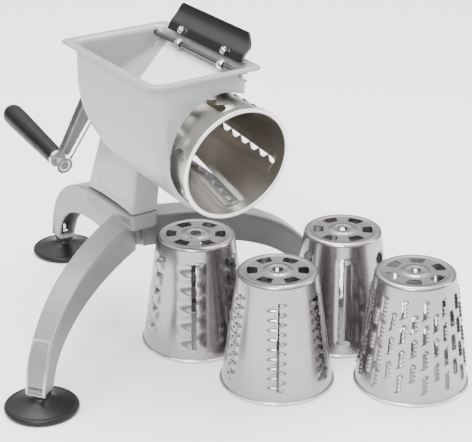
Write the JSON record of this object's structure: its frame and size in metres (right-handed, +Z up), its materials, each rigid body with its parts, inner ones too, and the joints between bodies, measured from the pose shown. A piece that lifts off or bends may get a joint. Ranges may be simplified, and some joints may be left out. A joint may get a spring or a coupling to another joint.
{
  "type": "rotary cheese grater",
  "caption": "Hand-cranked tabletop rotary grater: square hopper over a conical grating drum, on an arched tripod with suction feet, with spare drums set out.",
  "frame": {"origin": "centre of the whole set on the table that it stands on", "axes": "+Z up, -Y to the front where the drum's open mouth points, +X to the grater's right, where the presser is hinged"},
  "size_m": [0.4038, 0.5164, 0.3256],
  "materials": {
    "black_rubber": "matt moulded rubber",
    "bright_steel": "bright plated steel",
    "drum_steel": "stainless sheet with a fine vertical grain",
    "cast_aluminium": "satin casting",
    "bush_bronze": "plain bearing metal",
    "grip_black": "satin moulded plastic",
    "presser_black": "glossy moulded plastic",
    "hopper_grey": "satin silver-grey paint on a casting",
    "tripod_grey": "satin mid-grey paint on a casting"
  },
  "bodies": {
    "stand": {"hopper_body": "hopper_grey", "tripod_base": "tripod_grey", "shaft_bush": "bush_bronze", "suction_cup_front": "black_rubber", "suction_cup_right": "black_rubber", "suction_cup_back": "black_rubber", "cup_stud_front": "bright_steel", "cup_stud_right": "bright_steel", "cup_stud_back": "bright_steel", "cup_nut_front": "bright_steel", "cup_nut_right": "bright_steel", "cup_nut_back": "bright_steel", "pedestal_bolt_front": "bright_steel", "pedestal_bolt_back": "bright_steel"},
    "crank": {"crank_arm": "cast_aluminium", "crank_nut": "bright_steel", "drive_shaft": "bright_steel", "drive_head": "cast_aluminium", "drive_pin": "bright_steel", "thrust_washer": "bright_steel", "grip_spindle": "bright_steel", "grip_collar": "bright_steel"},
    "grip": {"grip": "grip_black"},
    "mounted_drum": {"coarse_drum": "drum_steel"},
    "presser": {"presser_plate": "presser_black", "pivot_rod": "bright_steel", "rod_cap_front": "bright_steel", "rod_cap_back": "bright_steel", "rod_eye_front": "bright_steel", "rod_eye_back": "bright_steel", "plate_bolt_front": "bright_steel", "plate_bolt_back": "bright_steel", "plate_nut_front": "bright_steel", "plate_nut_back": "bright_steel"},
    "crinkle_drum": {"crinkle_drum": "drum_steel"},
    "julienne_drum": {"julienne_drum": "drum_steel"},
    "slicing_drum": {"slicing_drum": "drum_steel"},
    "shredding_drum": {"shredding_drum": "drum_steel"}
  },
  "joints": [
    {"name": "crank_spin", "type": "hinge", "parent": "stand", "child": "crank", "pos_m": [-0.00047, -0.13286, 0.2212], "axis": [0, 0.9863, 0.165], "continuous": true},
    {"name": "grip_spin", "type": "hinge", "parent": "crank", "child": "grip", "pos_m": [-0.05154, -0.11558, 0.11793], "axis": [0, 0.9863, 0.165], "continuous": true},
    {"name": "drum_pull", "type": "slide", "parent": "crank", "child": "mounted_drum", "axis": [0, -0.9863, -0.165], "range_m": [0, 0.12]},
    {"name": "presser_swing", "type": "hinge", "parent": "stand", "child": "presser", "pos_m": [0.01933, -0.04086, 0.2927], "axis": [0, -1, 0], "range_deg": [0, 120]},
    {"name": "lift_crinkle_drum", "type": "slide", "parent": "stand", "child": "crinkle_drum", "axis": [0, 0, 1], "range_m": [0, 0.008]},
    {"name": "lift_julienne_drum", "type": "slide", "parent": "stand", "child": "julienne_drum", "axis": [0, 0, 1], "range_m": [0, 0.03]},
    {"name": "lift_slicing_drum", "type": "slide", "parent": "stand", "child": "slicing_drum", "axis": [0, 0, 1], "range_m": [0, 0.12]},
    {"name": "lift_shredding_drum", "type": "slide", "parent": "stand", "child": "shredding_drum", "axis": [0, 0, 1], "range_m": [0, 0.12]}
  ]
}
